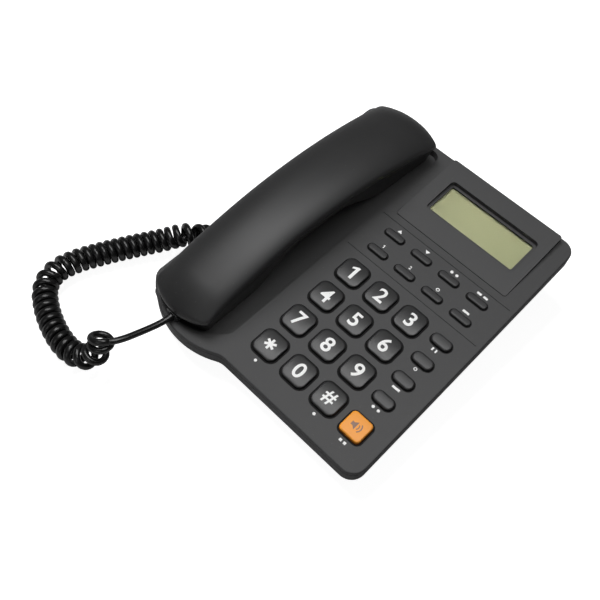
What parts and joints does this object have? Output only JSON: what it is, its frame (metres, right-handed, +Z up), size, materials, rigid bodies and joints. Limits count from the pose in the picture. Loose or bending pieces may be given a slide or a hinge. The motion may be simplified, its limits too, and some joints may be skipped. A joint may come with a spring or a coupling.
{
  "type": "corded landline phone",
  "caption": "Corded desk phone: sloping base with dialling keys, display panel and cradle, arched handset, curly cord.",
  "frame": {"origin": "middle of the phone's footprint, on the desk that its feet stand on", "axes": "+X to the right of a user who faces the keys, +Y to the back, +Z up; the cradle is on the left"},
  "size_m": [0.2168, 0.2633, 0.0639],
  "materials": {
    "shell_black": "fine-textured charcoal plastic",
    "handset_black": "smooth satin charcoal plastic",
    "panel_black": "fine-textured charcoal plastic",
    "window_clear": "clear plate",
    "screen_grey": "greenish grey liquid crystal screen",
    "membrane_grey": "moulded silicone",
    "board_green": "solder-masked board",
    "speaker_black": "loudspeaker frame and magnet",
    "capsule_metal": "pressed can",
    "jack_black": "moulded jack",
    "foot_rubber": "soft foot",
    "screw_steel": "zinc-plated screw",
    "switch_black": "switch case",
    "spring_steel": "spring wire",
    "plug_clear": "smoky clear modular plug",
    "cord_black": "flexible cord jacket, half gloss",
    "weight_steel": "steel block",
    "key_black": "half-gloss key cap with white print",
    "key_orange": "orange key cap"
  },
  "bodies": {
    "base": {"top_housing": "shell_black", "bottom_cover": "shell_black", "display_bezel": "panel_black", "display_window": "window_clear", "lcd_module": "screen_grey", "keypad_membrane": "membrane_grey", "main_board": "board_green", "loudspeaker": "speaker_black", "handsfree_microphone": "capsule_metal", "line_jack": "jack_black", "rubber_feet": "foot_rubber", "board_screws": "screw_steel", "housing_screws": "screw_steel", "hook_switch": "switch_black", "hook_spring": "spring_steel", "base_cord_jack": "jack_black", "base_plug": "plug_clear", "curly_cord": "cord_black", "cord_lead": "cord_black"},
    "handset": {"handset_top_shell": "handset_black", "handset_bottom_shell": "handset_black", "receiver_capsule": "capsule_metal", "handset_microphone": "capsule_metal", "handset_weight": "weight_steel", "handset_screws": "screw_steel", "handset_cord_jack": "jack_black", "handset_plug": "plug_clear"},
    "hook": {"hook_plunger": "shell_black"},
    "key_0_body": {"key_0": "key_black"},
    "key_1_body": {"key_1": "key_black"},
    "key_2_body": {"key_2": "key_black"},
    "key_3_body": {"key_3": "key_black"},
    "key_4_body": {"key_4": "key_black"},
    "key_5_body": {"key_5": "key_black"},
    "key_6_body": {"key_6": "key_black"},
    "key_7_body": {"key_7": "key_black"},
    "key_8_body": {"key_8": "key_black"},
    "key_9_body": {"key_9": "key_black"},
    "key_star_body": {"key_star": "key_black"},
    "key_hash_body": {"key_hash": "key_black"},
    "function_key_1_body": {"function_key_1": "key_black"},
    "function_key_2_body": {"function_key_2": "key_black"},
    "function_key_3_body": {"function_key_3": "key_black"},
    "function_key_4_body": {"function_key_4": "key_black"},
    "function_key_5_body": {"function_key_5": "key_black"},
    "function_key_6_body": {"function_key_6": "key_black"},
    "function_key_7_body": {"function_key_7": "key_black"},
    "function_key_8_body": {"function_key_8": "key_black"},
    "side_key_1_body": {"side_key_1": "key_black"},
    "side_key_2_body": {"side_key_2": "key_black"},
    "side_key_3_body": {"side_key_3": "key_black"},
    "side_key_4_body": {"side_key_4": "key_black"},
    "handsfree_key_body": {"handsfree_key": "key_orange"}
  },
  "joints": [
    {"name": "handset_lift", "type": "slide", "parent": "base", "child": "handset", "axis": [0, -0.0872, 0.9962], "range_m": [0, 0.06], "deforming": ["cord_lead"]},
    {"name": "hook_rise", "type": "slide", "parent": "base", "child": "hook", "axis": [0, -0.0872, 0.9962], "range_m": [0, 0.003], "deforming": ["hook_spring"]},
    {"name": "key_0_press", "type": "slide", "parent": "base", "child": "key_0_body", "axis": [0, 0.0872, -0.9962], "range_m": [0, 0.0016], "stiffness_N_per_m": 400},
    {"name": "key_1_press", "type": "slide", "parent": "base", "child": "key_1_body", "axis": [0, 0.0872, -0.9962], "range_m": [0, 0.0016], "stiffness_N_per_m": 400},
    {"name": "key_2_press", "type": "slide", "parent": "base", "child": "key_2_body", "axis": [0, 0.0872, -0.9962], "range_m": [0, 0.0016], "stiffness_N_per_m": 400},
    {"name": "key_3_press", "type": "slide", "parent": "base", "child": "key_3_body", "axis": [0, 0.0872, -0.9962], "range_m": [0, 0.0016], "stiffness_N_per_m": 400},
    {"name": "key_4_press", "type": "slide", "parent": "base", "child": "key_4_body", "axis": [0, 0.0872, -0.9962], "range_m": [0, 0.0016], "stiffness_N_per_m": 400},
    {"name": "key_5_press", "type": "slide", "parent": "base", "child": "key_5_body", "axis": [0, 0.0872, -0.9962], "range_m": [0, 0.0016], "stiffness_N_per_m": 400},
    {"name": "key_6_press", "type": "slide", "parent": "base", "child": "key_6_body", "axis": [0, 0.0872, -0.9962], "range_m": [0, 0.0016], "stiffness_N_per_m": 400},
    {"name": "key_7_press", "type": "slide", "parent": "base", "child": "key_7_body", "axis": [0, 0.0872, -0.9962], "range_m": [0, 0.0016], "stiffness_N_per_m": 400},
    {"name": "key_8_press", "type": "slide", "parent": "base", "child": "key_8_body", "axis": [0, 0.0872, -0.9962], "range_m": [0, 0.0016], "stiffness_N_per_m": 400},
    {"name": "key_9_press", "type": "slide", "parent": "base", "child": "key_9_body", "axis": [0, 0.0872, -0.9962], "range_m": [0, 0.0016], "stiffness_N_per_m": 400},
    {"name": "key_star_press", "type": "slide", "parent": "base", "child": "key_star_body", "axis": [0, 0.0872, -0.9962], "range_m": [0, 0.0016], "stiffness_N_per_m": 400},
    {"name": "key_hash_press", "type": "slide", "parent": "base", "child": "key_hash_body", "axis": [0, 0.0872, -0.9962], "range_m": [0, 0.0016], "stiffness_N_per_m": 400},
    {"name": "function_key_1_press", "type": "slide", "parent": "base", "child": "function_key_1_body", "axis": [0, 0.0872, -0.9962], "range_m": [0, 0.0016], "stiffness_N_per_m": 400},
    {"name": "function_key_2_press", "type": "slide", "parent": "base", "child": "function_key_2_body", "axis": [0, 0.0872, -0.9962], "range_m": [0, 0.0016], "stiffness_N_per_m": 400},
    {"name": "function_key_3_press", "type": "slide", "parent": "base", "child": "function_key_3_body", "axis": [0, 0.0872, -0.9962], "range_m": [0, 0.0016], "stiffness_N_per_m": 400},
    {"name": "function_key_4_press", "type": "slide", "parent": "base", "child": "function_key_4_body", "axis": [0, 0.0872, -0.9962], "range_m": [0, 0.0016], "stiffness_N_per_m": 400},
    {"name": "function_key_5_press", "type": "slide", "parent": "base", "child": "function_key_5_body", "axis": [0, 0.0872, -0.9962], "range_m": [0, 0.0016], "stiffness_N_per_m": 400},
    {"name": "function_key_6_press", "type": "slide", "parent": "base", "child": "function_key_6_body", "axis": [0, 0.0872, -0.9962], "range_m": [0, 0.0016], "stiffness_N_per_m": 400},
    {"name": "function_key_7_press", "type": "slide", "parent": "base", "child": "function_key_7_body", "axis": [0, 0.0872, -0.9962], "range_m": [0, 0.0016], "stiffness_N_per_m": 400},
    {"name": "function_key_8_press", "type": "slide", "parent": "base", "child": "function_key_8_body", "axis": [0, 0.0872, -0.9962], "range_m": [0, 0.0016], "stiffness_N_per_m": 400},
    {"name": "side_key_1_press", "type": "slide", "parent": "base", "child": "side_key_1_body", "axis": [0, 0.0872, -0.9962], "range_m": [0, 0.0016], "stiffness_N_per_m": 400},
    {"name": "side_key_2_press", "type": "slide", "parent": "base", "child": "side_key_2_body", "axis": [0, 0.0872, -0.9962], "range_m": [0, 0.0016], "stiffness_N_per_m": 400},
    {"name": "side_key_3_press", "type": "slide", "parent": "base", "child": "side_key_3_body", "axis": [0, 0.0872, -0.9962], "range_m": [0, 0.0016], "stiffness_N_per_m": 400},
    {"name": "side_key_4_press", "type": "slide", "parent": "base", "child": "side_key_4_body", "axis": [0, 0.0872, -0.9962], "range_m": [0, 0.0016], "stiffness_N_per_m": 400},
    {"name": "handsfree_key_press", "type": "slide", "parent": "base", "child": "handsfree_key_body", "axis": [0, 0.0872, -0.9962], "range_m": [0, 0.0016], "stiffness_N_per_m": 400}
  ],
  "couplings": [
    {"joint": "hook_rise", "follows": "handset_lift", "ratio": 0.05}
  ]
}
